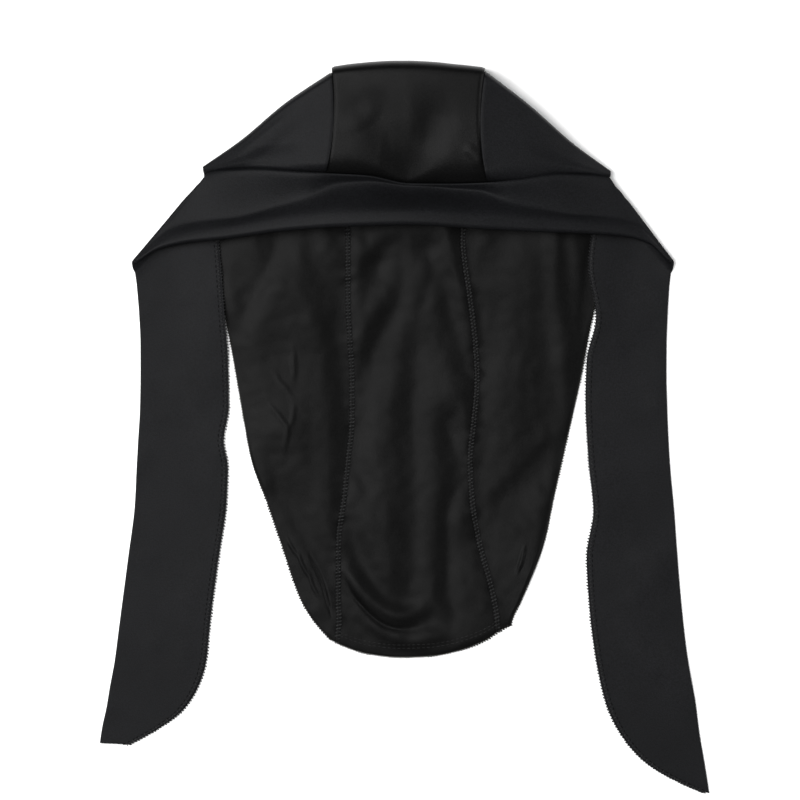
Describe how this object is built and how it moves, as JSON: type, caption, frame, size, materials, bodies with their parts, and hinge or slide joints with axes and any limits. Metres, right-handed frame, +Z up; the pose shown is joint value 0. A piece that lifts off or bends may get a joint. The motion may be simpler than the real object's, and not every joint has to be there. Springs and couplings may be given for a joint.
{
  "type": "skull cap with ties",
  "caption": "Close-fitting stretch cloth cap lying flat: panelled crown, folded brow band that turns into long side ties, and a rounded tail.",
  "frame": {"origin": "on the surface that the cap lies on, under the middle of its outline", "axes": "+Y from the tail to the top of the crown, +X to the right seen from above, +Z up"},
  "size_m": [0.3293, 0.3954, 0.0331],
  "materials": {
    "matt_knit": "fine matt stretch knit, black",
    "sheen_knit": "smooth stretch knit with a soft sheen, black"
  },
  "bodies": {
    "root": {"crown_center_panel": "sheen_knit", "crown_side_panel_left": "matt_knit", "crown_side_panel_right": "matt_knit", "band_and_ties": "matt_knit"}
  },
  "joints": []
}
